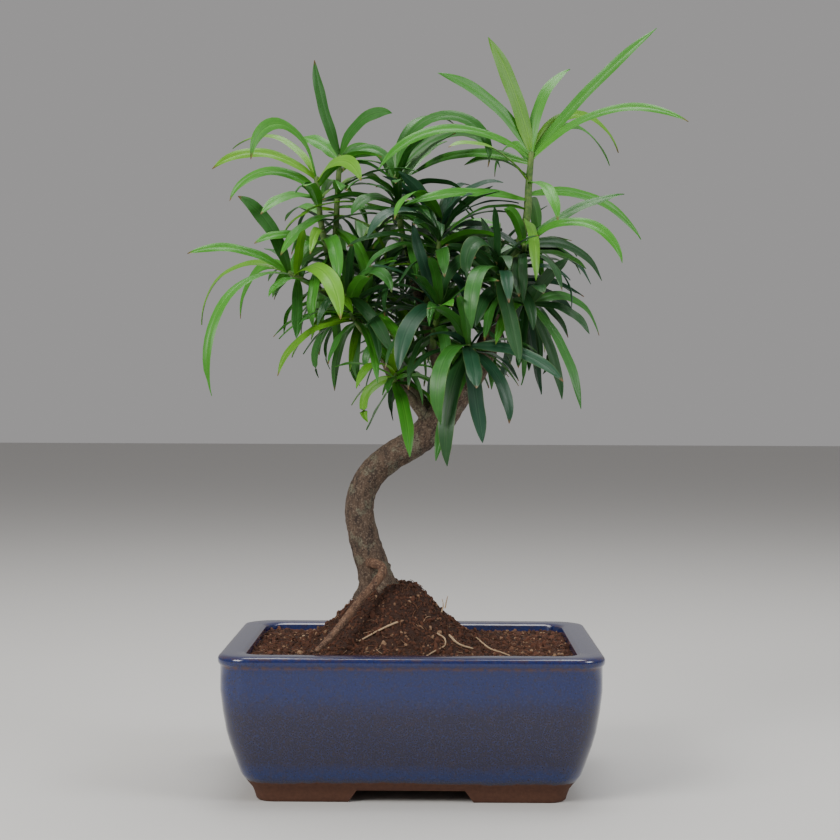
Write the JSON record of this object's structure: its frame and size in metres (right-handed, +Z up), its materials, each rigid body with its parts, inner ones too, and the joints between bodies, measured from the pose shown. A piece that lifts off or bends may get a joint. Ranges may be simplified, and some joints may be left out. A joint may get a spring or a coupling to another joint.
{
  "type": "buddhist pine bonsai in a glazed pot",
  "caption": "Potted bonsai tree with a curved trunk, thin boughs and long strap leaves, standing in soil in an oblong blue glazed pot on corner feet.",
  "frame": {"origin": "middle of the whole plant's footprint, at the level of the pot's feet", "axes": "+Z up, X along the pot's long side, -Y towards the plant's front"},
  "size_m": [0.2022, 0.1422, 0.3177],
  "materials": {
    "blue_glaze": "glossy speckled blue glaze over red-brown clay, bare clay feet",
    "potting_soil": "loose dry red-brown fibre soil",
    "bark": "rough grey-brown bark with pale green patches",
    "bare_root_wood": "smooth bare root, pale brown",
    "leaf_green": "leathery leaf with a soft sheen"
  },
  "bodies": {
    "root": {"pot": "blue_glaze", "soil": "potting_soil", "trunk": "bark", "bare_root": "bare_root_wood", "bough_left": "bark", "bough_middle": "bark", "bough_front": "bark", "bough_right": "bark", "bough_left_back": "bark", "bough_right_back": "bark", "foliage_top": "leaf_green", "foliage_upper_left": "leaf_green", "foliage_far_left_upper": "leaf_green", "foliage_far_left": "leaf_green", "foliage_left": "leaf_green", "foliage_low_left": "leaf_green", "foliage_centre_left": "leaf_green", "foliage_centre": "leaf_green", "foliage_upper_middle": "leaf_green", "foliage_front": "leaf_green", "foliage_front_right": "leaf_green", "foliage_right": "leaf_green", "foliage_upper_right": "leaf_green", "foliage_back_left": "leaf_green", "foliage_back_low": "leaf_green", "foliage_back_right": "leaf_green", "foliage_back_middle": "leaf_green"}
  },
  "joints": []
}
